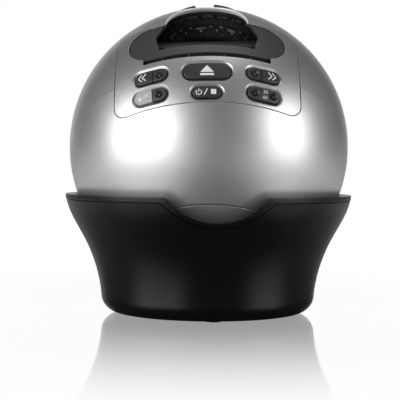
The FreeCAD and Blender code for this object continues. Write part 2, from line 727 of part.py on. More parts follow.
def ball_parts():
    parts = {
        "upper_shell": make_upper_shell(),
        "lower_shell": make_lower_shell(),
        "bottom_cap": make_bottom_cap(),
        "cap_screws": make_cap_screws(),
        "control_panel": make_control_panel(),
        "dial_bezel": make_dial_bezel(),
        "window_liner": make_window_liner(),
        "time_ring": make_time_ring(),
        "date_ring": make_date_ring(),
        "lens_guide": make_lens_guide(),
        "focus_ring": make_focus_ring(),
        "lens_barrel": make_lens_barrel(),
        "front_lens": make_lens(18.5, 71.6, 1.6, 1.6, 1.6),
        "rear_lens": make_lens(16.5, 50.0, 2.4, 2.0, 0.8),
        "lens_retainer": tube(18.6, 16.8, 73.6, 75.0),
        "upper_deck": make_upper_deck(),
        "lower_deck": make_lower_deck(),
        "deck_pillars": make_deck_pillars(),
        "chassis_screws": make_chassis_screws(),
        "tray_guides": make_tray_guides(),
        "disc_tray": make_disc_tray(),
        "disc_gear": make_disc_gear(),
        "star_disc": make_star_disc(),
        "drive_pinion": make_pinion(0, DISC_PITCH_R + PINION_PITCH_R, math.pi / PINION_TEETH - math.pi / 2),
        "drive_motor": make_motor(0, DISC_PITCH_R + PINION_PITCH_R, 10.0, 27.0),
        "tray_pinion": make_pinion(RACK_X + PINION_PITCH_R, TRAY_PINION_Y, math.pi),
        "tray_motor": make_motor(RACK_X + PINION_PITCH_R, TRAY_PINION_Y, 6.5, 22.0),
        "lamp_tube": make_lamp_tube(),
        "condenser_lens": make_lens(21.7, -3.0, 1.6, 3.0, 3.0),
        "lamp_led": make_lamp_led(),
        "heat_sink": make_heat_sink(),
        "main_board": make_main_board(),
        "power_inlet": make_power_inlet(),
        "keypad_mat": make_keypad_mat(),
        "eject_key": on_ball(pill_cap(EJECT[2], EJECT[3]), EJECT[0], EJECT[1]),
        "power_key": on_ball(pill_cap(POWER[2], POWER[3]), POWER[0], POWER[1]),
    }
    left_key, left_cover = split_pill()
    right_key = half_turn(left_key)
    right_cover = half_turn(left_cover)
    parts["rotate_left_key"] = on_ball(left_key, -SIDE_X, ROW_TOP)
    parts["rotate_left_cover"] = on_ball(left_cover, -SIDE_X, ROW_TOP)
    parts["meteor_key"] = on_ball(left_key, -SIDE_X, ROW_LOW)
    parts["meteor_cover"] = on_ball(left_cover, -SIDE_X, ROW_LOW)
    parts["rotate_right_key"] = on_ball(right_key, SIDE_X, ROW_TOP)
    parts["rotate_right_cover"] = on_ball(right_cover, SIDE_X, ROW_TOP)
    parts["timer_key"] = on_ball(timer_pill(), SIDE_X, ROW_LOW)
    lights = [on_ball(led(LED_OFF), -SIDE_X, ROW_TOP), on_ball(led(LED_OFF), -SIDE_X, ROW_LOW),
              on_ball(led(-LED_OFF), SIDE_X, ROW_TOP), on_ball(led(-LED_OFF), SIDE_X, ROW_LOW),
              on_ball(led(LED_OFF), SIDE_X, ROW_LOW)]
    parts["indicator_lights"] = group(lights)
    return parts


def stand_parts():
    return {
        "stand_shell": make_stand_shell(),
        "cradle_cup": make_cradle_cup(),
        "glide_ring": make_glide_ring(),
        "base_plate": make_base_plate(),
        "base_screws": make_plate_screws(),
        "rubber_feet": make_rubber_feet(),
    }


def rest_attitude():
    """Lean back about X, turn about Z, roll about Y, then lift to the ball's centre."""
    lean = FreeCAD.Rotation(V(1, 0, 0), -REST_TILT)
    turn = FreeCAD.Rotation(V(0, 0, 1), REST_TURN)
    roll = FreeCAD.Rotation(V(0, 1, 0), REST_ROLL)
    return FreeCAD.Placement(V(0, 0, CENTRE_H), turn.multiply(roll).multiply(lean))


os.makedirs("parts", exist_ok=True)
attitude = rest_attitude()
finished = stand_parts()
for name, shape in ball_parts().items():
    placed = shape.copy()
    placed.Placement = attitude.multiply(placed.Placement)
    finished[name] = placed
for name, shape in finished.items():
    shape.exportStep(os.path.join("parts", name + ".step"))
    print(name, len(shape.Solids), "solids", round(shape.Volume / 1000, 2), "cm3", shape.isValid())
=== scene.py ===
import json
import math

import bmesh
import bpy
from mathutils import Matrix, Vector


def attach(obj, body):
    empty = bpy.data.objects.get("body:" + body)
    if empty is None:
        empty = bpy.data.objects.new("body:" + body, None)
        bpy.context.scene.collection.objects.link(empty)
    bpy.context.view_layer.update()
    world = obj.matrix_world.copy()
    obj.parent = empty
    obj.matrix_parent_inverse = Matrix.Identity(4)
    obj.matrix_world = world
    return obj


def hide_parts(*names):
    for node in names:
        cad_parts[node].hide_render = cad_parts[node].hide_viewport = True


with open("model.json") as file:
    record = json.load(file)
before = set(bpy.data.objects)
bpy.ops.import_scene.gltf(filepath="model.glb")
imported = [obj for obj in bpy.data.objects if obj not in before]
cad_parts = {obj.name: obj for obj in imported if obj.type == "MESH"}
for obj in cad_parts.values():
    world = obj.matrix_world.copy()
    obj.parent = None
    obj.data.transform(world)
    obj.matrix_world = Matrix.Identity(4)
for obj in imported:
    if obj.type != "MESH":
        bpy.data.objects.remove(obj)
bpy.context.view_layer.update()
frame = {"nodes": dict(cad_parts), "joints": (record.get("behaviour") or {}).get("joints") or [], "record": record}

scene = bpy.context.scene
MM = 0.001

# Ball frame: centre, right, back and lens axis, read from the joints
JOINTS = {joint["name"]: joint for joint in frame["joints"]}
CENTRE = Vector(JOINTS["tilt"]["pos_m"])
RIGHT = -Vector(JOINTS["tilt"]["axis"])
LENS_AXIS = Vector(JOINTS["date_spin"]["axis"])
BACK = LENS_AXIS.cross(RIGHT)
BALL_R = 75.0

# Camera, fitted to the photograph: metres, degrees and millimetres of lens
CAMERA_AT = Vector((-0.0484, -0.7098, 0.0852))
CAMERA_HEADING = 86.46
CAMERA_PITCH = -1.977
CAMERA_ROLL = 0.46
CAMERA_LENS = 118.0
SENSOR_WIDTH = 36.0
CLIP_START = 0.01

# Keys, in millimetres: centre x and z on the ball's front, length and height, as in the CAD
ROW_TOP = -3.9
ROW_LOW = -14.8
SIDE_X = 28.2
KEY_HALF_SHIFT = 4.3
EJECT_AT = (0.1, -4.7)
EJECT_SIZE = (23.4, 8.9)
POWER_AT = (-0.1, -16.4)
POWER_SIZE = (14.2, 5.9)
PILL_SIZE = (17.2, 6.8)
KEY_PLACES = [(*EJECT_AT, *EJECT_SIZE), (*POWER_AT, *POWER_SIZE)]
KEY_PLACES += [(side * SIDE_X, z, *PILL_SIZE) for side in (-1, 1) for z in (ROW_TOP, ROW_LOW)]

# Bevel round a key opening: how far outside the key, and the radius from the ball's centre
BEVEL_PROFILE = ((0.36, 72.0), (0.42, 74.05), (1.62, 75.02), (1.7, 76.0))
STADIUM_STEPS = 14
WELD_DISTANCE = 1e-7
OUTER_FACE_COSINE = 0.995
SURFACE_TOLERANCE = 0.05

# Arch of the dial window, and the rounded edge that lines it: radius and drop in millimetres
ARCH_HALF = 21.5
ARCH_RISE = 24.0
ARCH_FOOT = 33.0
BROW_STEPS = 64
BROW_END = 88.0
BROW_PROFILE = ((74.97, 0.0), (74.7, 0.28), (74.0, 0.42), (73.2, 0.36), (72.65, 0.02))

# Print: radius over the keys, height over the dial rings, and how finely it is cut to follow them
PRINT_R = 75.39
PRINT_LIFT = 0.05
PRINT_STEP = 1.0
PRINT_ROUNDS = 5
CAP_SHARE = 0.7

# Dial scales: radius and height of each ring's lower and upper edge, and degrees between marks
HOUR_BAND = ((31.9, 58.8), (31.5, 66.6))
HOURS = (2, 1, 0, 23, 22, 21, 20)
HOUR_STEP = 15.0
GRID_HALF_SPAN = 58.0
TICK_STEP = 2.5
TICK_HALF_WIDTH = 0.07
TICKS_PER_HOUR = 6
GRID_ROWS = (0.9, 2.0, 3.1, 4.2)
ROW_HALF_WIDTH = 0.05
MONTH_BAND = ((32.9, 52.6), (32.1, 58.4))
MONTHS = ("JAN", "FEB", "MAR", "APR", "MAY", "JUN", "JUL", "AUG", "SEP", "OCT", "NOV", "DEC")
MONTH_STEP = 30.0
NOVEMBER_ANGLE = -6.0
DAY_ANGLES = {"10": 9.0, "20": 19.0}

# White dot on the focus collar
COLLAR_R = 26.70
COLLAR_DOT_HEIGHT = 74.6
COLLAR_DOT_ANGLE = 30.0
COLLAR_DOT_R = 0.7
DOT_SIDES = 12

# Surface detail, in metres unless named otherwise
EDGE_ROUNDING = 0.0003
BEVEL_SAMPLES = 6
DRIFT_SIZE = 0.03
FLAKES_PER_METRE = 6500.0
TRACKS_PER_METRE = 400.0
STARS_PER_METRE = 900.0
NOISE_LOW = 0.25
NOISE_HIGH = 0.75

# Studio floor, each ramp as start and end in metres, then the values there
FLOOR_HALF = 6.0
FLOOR_DROP = 0.0002
FLOOR_ROUGHNESS = 0.06
FLOOR_PALER = (0.04, 0.22, 0.10, 0.80)
FLOOR_WHITER = (0.07, 0.30, 0.92, 1.0)
FLOOR_MIRROR = (0.05, 0.30, 0.74, 0.0)

# Studio world, each ramp over a direction's part: the backdrop stands at the back, up to a height
BACKDROP_BEHIND = (0.80, 0.94, 0.0, 1.0)
BACKDROP_LOW = (0.30, 0.60, 1.0, 0.0)
ROOM_LEVEL = 0.06
AMBIENT_LEVEL = 0.32

WHITE = (1, 1, 1, 1)


def ball_point(x, y, z):
    """World position of a point given in millimetres in the ball's own frame."""
    return CENTRE + (RIGHT * x + BACK * y + LENS_AXIS * z) * MM


def add_object(name, data):
    """A new object for the data, linked to the scene."""
    made = bpy.data.objects.new(name, data)
    scene.collection.objects.link(made)
    return made


def mesh_data(name, mesh):
    """Mesh data made from a bmesh, which is freed."""
    data = bpy.data.meshes.new(name)
    mesh.to_mesh(data)
    mesh.free()
    return data


def final_mesh(holder):
    """A mesh of the object as its modifiers or its font leave it."""
    bpy.context.view_layer.update()
    return bpy.data.meshes.new_from_object(holder.evaluated_get(bpy.context.evaluated_depsgraph_get()))


# Node helpers


def add_node(tree, kind, **settings):
    """A new shader node with its own settings."""
    node = tree.nodes.new("ShaderNode" + kind)
    for name, value in settings.items():
        setattr(node, name, value)
    return node


def feed(tree, socket, value):
    """Links another node's output to a socket, or sets the socket to a plain value."""
    if isinstance(value, bpy.types.NodeSocket):
        tree.links.new(value, socket)
    else:
        socket.default_value = value


def math_node(tree, operation, *values):
    node = add_node(tree, "Math", operation=operation)
    for socket, value in zip(node.inputs, values):
        feed(tree, socket, value)
    return node.outputs["Value"]


def map_range(tree, value, start, end, low, high, curve="LINEAR"):
    """Maps start to end onto low to high."""
    node = add_node(tree, "MapRange", interpolation_type=curve)
    node.inputs["From Min"].default_value = start
    node.inputs["From Max"].default_value = end
    node.inputs["To Min"].default_value = low
    node.inputs["To Max"].default_value = high
    feed(tree, node.inputs["Value"], value)
    return node.outputs["Result"]


def ramp(tree, value, limits):
    """Smooth step with the limits start, end, value at start and value at end."""
    return map_range(tree, value, *limits, curve="SMOOTHSTEP")


def mix_shader(tree, share, first, second):
    node = add_node(tree, "MixShader")
    feed(tree, node.inputs["Fac"], share)
    feed(tree, node.inputs[1], first)
    feed(tree, node.inputs[2], second)
    return node.outputs["Shader"]


# Materials


def material(name, metallic=0.0, roughness=0.4, coat=0.0, coat_roughness=0.1, specular=0.5):
    """A new material with a plain Principled surface; returns it with its tree and shader."""
    made = bpy.data.materials.new(name)
    made.use_nodes = True
    shader = made.node_tree.nodes["Principled BSDF"]
    shader.inputs["Metallic"].default_value = metallic
    shader.inputs["Roughness"].default_value = roughness
    shader.inputs["Coat Weight"].default_value = coat
    shader.inputs["Coat Roughness"].default_value = coat_roughness
    shader.inputs["Specular IOR Level"].default_value = specular
    return made, made.node_tree, shader


def position(tree, stretch=(1, 1, 1)):
    """Object coordinates in metres, stretched along the axes."""
    coords = add_node(tree, "TexCoord")
    mapping = add_node(tree, "Mapping")
    mapping.inputs["Scale"].default_value = stretch
    tree.links.new(coords.outputs["Object"], mapping.inputs["Vector"])
    return mapping.outputs["Vector"]


def noise(tree, place, size, detail=2.0):
    """Noise whose grain is about the given size in metres."""
    texture = add_node(tree, "TexNoise")
    texture.inputs["Scale"].default_value = 1.0 / size
    texture.inputs["Detail"].default_value = detail
    tree.links.new(place, texture.inputs["Vector"])
    return texture.outputs["Fac"]


def cells(tree, place, per_metre):
    """Voronoi cells, so many to the metre."""
    texture = add_node(tree, "TexVoronoi")
    texture.inputs["Scale"].default_value = per_metre
    tree.links.new(place, texture.inputs["Vector"])
    return texture


def spread(tree, value, low, high):
    """Maps the middle half of a noise to the range low to high."""
    return map_range(tree, value, NOISE_LOW, NOISE_HIGH, low, high)


def tint(tree, value, dark, light):
    """Colour that goes from dark to light with a 0 to 1 value."""
    mix = add_node(tree, "Mix", data_type="RGBA")
    mix.inputs["A"].default_value = (*dark, 1)
    mix.inputs["B"].default_value = (*light, 1)
    tree.links.new(value, mix.inputs["Factor"])
    return mix.outputs["Result"]


def emboss(tree, shader, height, depth):
    """Bump of the given depth in metres, over slightly rounded edges."""
    bump = add_node(tree, "Bump")
    bump.inputs["Distance"].default_value = depth
    bump.inputs["Strength"].default_value = 1.0
    rounding = add_node(tree, "Bevel", samples=BEVEL_SAMPLES)
    rounding.inputs["Radius"].default_value = EDGE_ROUNDING
    tree.links.new(rounding.outputs["Normal"], bump.inputs["Normal"])
    tree.links.new(height, bump.inputs["Height"])
    tree.links.new(bump.outputs["Normal"], shader.inputs["Normal"])


def moulded(name, dark, light, roughness, grain, depth, metallic=0.0, coat=0.0, stretch=(1, 1, 1),
            specular=0.5):
    """Moulded or machined surface: slow tone drift, fine grain in roughness and relief."""
    made, tree, shader = material(name, metallic=metallic, coat=coat, specular=specular)
    place = position(tree, stretch)
    drift = noise(tree, place, DRIFT_SIZE, 3.0)
    fine = noise(tree, place, grain, 3.0)
    tree.links.new(tint(tree, drift, dark, light), shader.inputs["Base Color"])
    tree.links.new(spread(tree, fine, roughness - 0.05, roughness + 0.06), shader.inputs["Roughness"])
    emboss(tree, shader, fine, depth)
    return made


def machined(name, dark, light, roughness, grain, depth, stretch):
    """Bare metal whose grain runs along the unstretched axes."""
    return moulded(name, dark, light, roughness, grain, depth, metallic=1.0, stretch=stretch)


def grey(value):
    """A grey with a trace of blue."""
    return (value, value, value * 1.01)


def silver_paint():
    """Satin metallic paint: fine flakes that vary in brightness, under a thin haze."""
    made, tree, shader = material("silver_paint", metallic=0.92, roughness=0.33, coat=0.06,
                                  coat_roughness=0.25)
    place = position(tree)
    flakes = cells(tree, place, FLAKES_PER_METRE)
    apart = add_node(tree, "SeparateColor")
    tree.links.new(flakes.outputs["Color"], apart.inputs["Color"])
    cloud = add_node(tree, "Mix", data_type="RGBA", blend_type="MULTIPLY")
    cloud.inputs["Factor"].default_value = 1.0
    tree.links.new(tint(tree, apart.outputs["Red"], grey(0.50), grey(0.58)), cloud.inputs["A"])
    tree.links.new(tint(tree, noise(tree, place, 0.05), grey(0.97), grey(1.0)), cloud.inputs["B"])
    tree.links.new(cloud.outputs["Result"], shader.inputs["Base Color"])
    tree.links.new(spread(tree, apart.outputs["Green"], 0.38, 0.44), shader.inputs["Roughness"])
    emboss(tree, shader, noise(tree, place, 0.0004, 3.0), 0.000006)
    return made


def clear_glass():
    """Coated lens glass, a little bluer in places."""
    made, tree, shader = material("lens_glass", roughness=0.02, specular=0.6)
    shader.inputs["Transmission Weight"].default_value = 1.0
    shader.inputs["IOR"].default_value = 1.52
    coating = noise(tree, position(tree), 0.02, 1.0)
    tree.links.new(tint(tree, coating, (0.86, 0.92, 0.97), (0.93, 0.93, 0.99)),
                   shader.inputs["Base Color"])
    return made


def circuit_board():
    """Green mask with paler tracks in a fine grid."""
    made, tree, shader = material("board_green", roughness=0.35, coat=0.2)
    tracks = add_node(tree, "TexBrick")
    tracks.inputs["Scale"].default_value = TRACKS_PER_METRE
    tracks.inputs["Mortar Size"].default_value = 0.06
    tracks.inputs["Color1"].default_value = (0.010, 0.085, 0.032, 1)
    tracks.inputs["Color2"].default_value = (0.012, 0.105, 0.040, 1)
    tracks.inputs["Mortar"].default_value = (0.03, 0.20, 0.08, 1)
    tree.links.new(position(tree), tracks.inputs["Vector"])
    tree.links.new(tracks.outputs["Color"], shader.inputs["Base Color"])
    emboss(tree, shader, tracks.outputs["Fac"], 0.00003)
    return made


def star_film():
    """Dark film with clear dots, one near the middle of each cell."""
    made, tree, shader = material("film", roughness=0.12, specular=0.6)
    stars = cells(tree, position(tree), STARS_PER_METRE)
    dots = map_range(tree, stars.outputs["Distance"], 0.12, 0.06, 0.0, 1.0)
    tree.links.new(tint(tree, dots, (0.010, 0.011, 0.022), (0.75, 0.8, 0.9)),
                   shader.inputs["Base Color"])
    return made


def printed(name, level):
    """Screen-printed ink, a little uneven."""
    made, tree, shader = material(name, roughness=0.5, specular=0.35)
    uneven = noise(tree, position(tree), 0.0003)
    tree.links.new(tint(tree, uneven, grey(level * 0.9), grey(level)), shader.inputs["Base Color"])
    return made


def brow_highlight_paint():
    """Paint of the rounded window edge: the shell's silver made paler and less metallic, as a painted highlight.
    """
    made, tree, shader = material("brow_highlight_paint", metallic=0.3, roughness=0.45)
    uneven = noise(tree, position(tree), 0.0004)
    # painted highlight: greys paler than the shell's silver paint stand in for light catching the rounded edge
    tree.links.new(tint(tree, uneven, grey(0.72), grey(0.80)), shader.inputs["Base Color"])
    return made


# After each name: the two tones, roughness, size of the grain and depth of its relief
FINISHES = {
    "silver_paint": silver_paint(),
    "stand_black": moulded("stand_black", grey(0.0016), grey(0.0024), 0.34, 0.00025, 0.000008,
                           specular=0.24),
    "glide_felt": moulded("glide_felt", grey(0.02), grey(0.03), 0.9, 0.0004, 0.00006),
    "bezel_black": moulded("bezel_black", grey(0.032), grey(0.037), 0.42, 0.00022, 0.000012),
    "dial_black": moulded("dial_black", grey(0.030), grey(0.036), 0.5, 0.0003, 0.00001),
    "liner_black": moulded("liner_black", grey(0.006), grey(0.009), 0.6, 0.0003, 0.00001),
    "collar_black": moulded("collar_black", grey(0.020), grey(0.026), 0.5, 0.0003, 0.00002),
    "key_black": moulded("key_black", grey(0.022), grey(0.027), 0.38, 0.0002, 0.000008),
    "key_grey": moulded("key_grey", grey(0.27), grey(0.31), 0.45, 0.0002, 0.000008),
    "lens_glass": clear_glass(),
    "indicator": moulded("indicator", grey(0.012), grey(0.018), 0.15, 0.0005, 0.000004, coat=0.5),
    "chassis_black": moulded("chassis_black", grey(0.022), grey(0.030), 0.55, 0.0004, 0.00002),
    "tray_black": moulded("tray_black", grey(0.012), grey(0.016), 0.5, 0.0003, 0.00001),
    "gear_white": moulded("gear_white", (0.62, 0.61, 0.56), (0.70, 0.69, 0.64), 0.45, 0.0005, 0.000008),
    "film": star_film(),
    "screw_steel": machined("screw_steel", grey(0.45), grey(0.55), 0.3, 0.0002, 0.000006, (1, 8, 1)),
    "motor_steel": machined("motor_steel", grey(0.42), grey(0.50), 0.35, 0.0003, 0.00001, (1, 1, 9)),
    "sink_alloy": machined("sink_alloy", grey(0.62), grey(0.70), 0.4, 0.0003, 0.00001, (6, 1, 1)),
    "board_green": circuit_board(),
    "mat_rubber": moulded("mat_rubber", grey(0.25), grey(0.29), 0.65, 0.0004, 0.00002),
    "foot_rubber": moulded("foot_rubber", grey(0.014), grey(0.020), 0.75, 0.0005, 0.00004),
}
INK = printed("white_ink", 0.92)
# Key print: the same white ink as the dial, darkened to 0.60 as painted shade against the strong light on the keys
SHADED_KEY_INK = printed("shaded_key_ink", 0.60)
DIM_INK = printed("grey_ink", 0.30)


def dress_nodes():
    """Each CAD node takes the finish of its material slot."""
    slots = {part["node"]: part["material_slot"] for part in frame["record"]["subparts"]}
    for name, node in frame["nodes"].items():
        node.data.materials.clear()
        node.data.materials.append(FINISHES[slots[name]])


# Printed marks


def flat_piece(name, polygons, place, ink, body):
    """Thin printed piece: 2-D polygons in millimetres, laid on a surface by place(u, v)."""
    mesh = bmesh.new()
    for polygon in polygons:
        mesh.faces.new([mesh.verts.new((u, v, 0)) for u, v in polygon])
    bmesh.ops.triangulate(mesh, faces=mesh.faces[:])
    for _ in range(PRINT_ROUNDS):
        long_edges = [edge for edge in mesh.edges if edge.calc_length() > PRINT_STEP]
        if not long_edges:
            break
        bmesh.ops.subdivide_edges(mesh, edges=long_edges, cuts=1)
        bmesh.ops.triangulate(mesh, faces=mesh.faces[:])
    for vertex in mesh.verts:
        vertex.co = place(vertex.co.x, vertex.co.y)
    data = mesh_data(name, mesh)
    data.materials.append(ink)
    piece = add_object(name, data)
    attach(piece, body)


def glyph_polygons(text, height, at_u=0.0, at_v=0.0):
    """Filled outline of a short text as triangles, centred on (at_u, at_v)."""
    curve = bpy.data.curves.new("glyphs", "FONT")
    curve.body = text
    curve.size = height / CAP_SHARE
    curve.align_x = "CENTER"
    curve.resolution_u = 3
    holder = add_object("glyphs", curve)
    filled = final_mesh(holder)
    polygons = []
    for face in filled.polygons:
        corners = [filled.vertices[i].co for i in face.vertices]
        polygons.append([(c.x + at_u, c.y - height / 2 + at_v) for c in corners])
    bpy.data.objects.remove(holder)
    bpy.data.meshes.remove(filled)
    bpy.data.curves.remove(curve)
    return polygons


def stroke(points, width):
    """Quads along a line of the given width."""
    quads = []
    for (u0, v0), (u1, v1) in zip(points, points[1:]):
        length = math.hypot(u1 - u0, v1 - v0)
        nu = -(v1 - v0) / length * width / 2
        nv = (u1 - u0) / length * width / 2
        quads.append([(u0 - nu, v0 - nv), (u1 - nu, v1 - nv), (u1 + nu, v1 + nv), (u0 + nu, v0 + nv)])
    return quads


def arc_band(radius, width, start, end, steps, at_u, at_v):
    """Quads along an arc, angles in degrees anticlockwise from +u."""
    inner = radius - width / 2
    outer = radius + width / 2
    quads = []
    for i in range(steps):
        a, b = (math.radians(start + (end - start) * k / steps) for k in (i, i + 1))
        corners = ((inner, a), (outer, a), (outer, b), (inner, b))
        quads.append([(at_u + r * math.cos(t), at_v + r * math.sin(t)) for r, t in corners])
    return quads


def box_polygon(u0, u1, v0, v1):
    return [(u0, v0), (u1, v0), (u1, v1), (u0, v1)]


def star_polygons(radius, at_u, at_v):
    """Five-pointed star as a fan of triangles."""
    rim = []
    for i in range(10):
        r = radius if i % 2 == 0 else radius * 0.42
        a = math.radians(90 + 36 * i)
        rim.append((at_u + r * math.cos(a), at_v + r * math.sin(a)))
    return [[(at_u, at_v), rim[i], rim[(i + 1) % 10]] for i in range(10)]


def key_axes(x, z):
    """Across, rise and out directions, in the ball's frame, at the front point (x, z)."""
    out = Vector((x, -math.sqrt(BALL_R ** 2 - x * x - z * z), z)).normalized()
    across = Vector((0, 0, 1)).cross(out).normalized()
    return across, out.cross(across), out


def over_key(axes, u, v, radius):
    """World point at (u, v) over a key, at the given radius from the ball's centre."""
    across, rise, out = axes
    return ball_point(*(across * u + rise * v + out * math.sqrt(radius * radius - u * u - v * v)))


def on_key(x, z):
    """Place function for a mark on the key whose centre is at front point (x, z)."""
    axes = key_axes(x, z)
    return lambda u, v: over_key(axes, u, v, PRINT_R)


def on_cone(angle, band):
    """Place function on a cone between two (radius, z) edges, v measured up from the lower one."""
    low, high = band
    slope = math.hypot(high[0] - low[0], high[1] - low[1])

    def place(u, v):
        share = v / slope
        radius = low[0] + (high[0] - low[0]) * share + PRINT_LIFT
        height = low[1] + (high[1] - low[1]) * share
        turn = math.radians(angle) + u / radius
        return ball_point(radius * math.sin(turn), -radius * math.cos(turn), height)
    return place


def chevrons(direction, at_u):
    """Two arrow heads that point to +u or -u."""
    marks = []
    for shift in (-1.1, 1.1):
        tip = (at_u + shift + direction, 0.0)
        tail = at_u + shift - direction
        marks += stroke([(tail, 2.0), tip], 0.55) + stroke([tip, (tail, -2.0)], 0.55)
    return marks


def key_symbols():
    """The sign on each key, drawn in millimetres from the key's centre."""
    eject = [[(-3.4, -1.0), (3.4, -1.0), (0.0, 3.0)], box_polygon(-3.4, 3.4, -2.9, -1.7)]
    flat_piece("eject_symbol", eject, on_key(*EJECT_AT), SHADED_KEY_INK, "eject_button")
    power = arc_band(1.35, 0.5, 130, 410, 20, -3.9, -0.1) + [box_polygon(-4.15, -3.65, 0.1, 1.8)]
    power += stroke([(-1.3, -1.6), (0.3, 1.6)], 0.5) + [box_polygon(2.0, 4.6, -1.3, 1.3)]
    flat_piece("power_symbol", power, on_key(*POWER_AT), SHADED_KEY_INK, "power_button")
    for name, side in (("rotate_left", -1), ("rotate_right", 1)):
        flat_piece(name + "_symbol", chevrons(side, side * KEY_HALF_SHIFT), on_key(side * SIDE_X, ROW_TOP),
                   SHADED_KEY_INK, name + "_button")
    meteor = star_polygons(1.5, -5.4, -0.6)
    meteor += stroke([(-3.6, 0.3), (-0.6, 1.5)], 0.28) + stroke([(-3.6, -0.5), (-0.9, 0.5)], 0.28)
    flat_piece("meteor_symbol", meteor, on_key(-SIDE_X, ROW_LOW), SHADED_KEY_INK, "meteor_button")
    timer = glyph_polygons("30", 1.8, 0.3, 1.45) + glyph_polygons("60", 1.8, 0.3, -1.45)
    flat_piece("timer_symbol", timer, on_key(SIDE_X, ROW_LOW), SHADED_KEY_INK, "timer_button")


def time_scale():
    """Hour numbers along the top edge of the fixed ring, over a fine grid of minute ticks."""
    for index, hour in enumerate(HOURS):
        angle = (index - len(HOURS) // 2) * HOUR_STEP
        flat_piece(f"hour_{hour:02d}", glyph_polygons(f"{hour:02d}:00", 1.95, 0.0, 6.45),
                   on_cone(angle, HOUR_BAND), INK, "ball")
    radius = HOUR_BAND[0][0]
    cell = math.radians(TICK_STEP) * radius
    count = int(2 * GRID_HALF_SPAN / TICK_STEP)
    columns = [math.radians(-GRID_HALF_SPAN + i * TICK_STEP) * radius for i in range(count + 1)]
    grid = []
    for i, u in enumerate(columns):
        top = 4.9 if i % TICKS_PER_HOUR == 2 else 4.3
        grid.append(box_polygon(u - TICK_HALF_WIDTH, u + TICK_HALF_WIDTH, 0.5, top))
    for row in GRID_ROWS:
        grid += [box_polygon(u, u + cell, row - ROW_HALF_WIDTH, row + ROW_HALF_WIDTH)
                 for u in columns[:-1]]
    flat_piece("minute_grid", grid, on_cone(0.0, HOUR_BAND), DIM_INK, "ball")


def date_scale():
    """Month names and day numbers on the turning ring, with marks along its lower edge."""
    radius = MONTH_BAND[0][0]
    half_month = math.radians(MONTH_STEP / 2) * radius
    for index, month in enumerate(MONTHS):
        angle = NOVEMBER_ANGLE + (index - MONTHS.index("NOV")) * MONTH_STEP
        shapes = glyph_polygons(month, 1.7, 0.0, 3.4)
        for day, day_angle in DAY_ANGLES.items():
            shapes += glyph_polygons(day, 1.3, math.radians(day_angle) * radius, 4.7)
        shapes += arc_band(0.5, 0.25, 0, 360, 12, 0.0, 1.3)
        shapes.append(box_polygon(half_month - 0.12, half_month + 0.12, 0.6, 2.0))
        shapes.append(box_polygon(half_month - 0.5, half_month + 0.5, 2.0, 2.25))
        flat_piece("month_" + month.lower(), shapes, on_cone(angle, MONTH_BAND), INK, "date_dial")


def collar_mark():
    """White dot on a lobe of the focus ring."""
    def place(u, v):
        turn = math.radians(COLLAR_DOT_ANGLE) + u / COLLAR_R
        return ball_point(COLLAR_R * math.sin(turn), -COLLAR_R * math.cos(turn), COLLAR_DOT_HEIGHT + v)
    rim = [(COLLAR_DOT_R * math.cos(a), COLLAR_DOT_R * math.sin(a))
           for a in (math.radians(360 / DOT_SIDES * i) for i in range(DOT_SIDES + 1))]
    dot = [[(0, 0), first, second] for first, second in zip(rim, rim[1:])]
    flat_piece("white_dot", dot, place, INK, "focus_collar")


# Formed edges


def stadium(length, height, grow):
    """Outline of a pill grown outwards, as (u, v) points anticlockwise."""
    half = (length - height) / 2
    radius = height / 2 + grow
    points = []
    for side, start in ((1, -90), (-1, 90)):
        for i in range(STADIUM_STEPS + 1):
            a = math.radians(start + 180 * i / STADIUM_STEPS)
            points.append((side * half + radius * math.cos(a), radius * math.sin(a)))
    return points


def bevel_cutter(mesh, x, z, length, height):
    """Closed flared plug that opens a key hole into a bevel following the ball's surface."""
    axes = key_axes(x, z)
    rings = [[mesh.verts.new(over_key(axes, u, v, radius)) for u, v in stadium(length, height, grow)]
             for grow, radius in BEVEL_PROFILE]
    count = len(rings[0])
    for low, high in zip(rings, rings[1:]):
        for i in range(count):
            j = (i + 1) % count
            mesh.faces.new((low[i], low[j], high[j], high[i]))
    for ring, radius, order in ((rings[0], BEVEL_PROFILE[0][1], -1), (rings[-1], BEVEL_PROFILE[-1][1], 1)):
        middle = mesh.verts.new(over_key(axes, 0.0, 0.0, radius))
        for i in range(count):
            pair = (ring[i], ring[(i + 1) % count])[::order]
            mesh.faces.new((*pair, middle))


def bevelled_panel():
    """The panel's own shape with a bright bevel round each key, in place of the plain one."""
    cutter_mesh = bmesh.new()
    for x, z, length, height in KEY_PLACES:
        bevel_cutter(cutter_mesh, x, z, length, height)
    cutter = add_object("key_bevels", mesh_data("key_bevels", cutter_mesh))
    mesh = bmesh.new()
    mesh.from_mesh(frame["nodes"]["control_panel"].data)
    bmesh.ops.remove_doubles(mesh, verts=mesh.verts, dist=WELD_DISTANCE)
    panel = add_object("panel_skin", mesh_data("panel_skin", mesh))
    carve = panel.modifiers.new("bevels", "BOOLEAN")
    carve.operation = "DIFFERENCE"
    carve.solver = "EXACT"
    carve.object = cutter
    carved = final_mesh(panel)
    panel.modifiers.clear()
    panel.data = carved
    bpy.data.objects.remove(cutter)
    carved.materials.clear()
    carved.materials.append(FINISHES["silver_paint"])
    round_normals(carved)
    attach(panel, "ball")
    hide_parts("control_panel")


def round_normals(mesh):
    """Exact normals on the ball's outer surface and flat ones elsewhere."""
    normals = []
    for face in mesh.polygons:
        face.use_smooth = True
        face.material_index = 0
        radial = (face.center - CENTRE).normalized()
        outer = face.normal.dot(radial) > OUTER_FACE_COSINE
        for index in face.vertices:
            arm = mesh.vertices[index].co - CENTRE
            on_surface = abs(arm.length / MM - BALL_R) < SURFACE_TOLERANCE
            normals.append(arm.normalized() if outer and on_surface else face.normal.copy())
    mesh.normals_split_custom_set(normals)


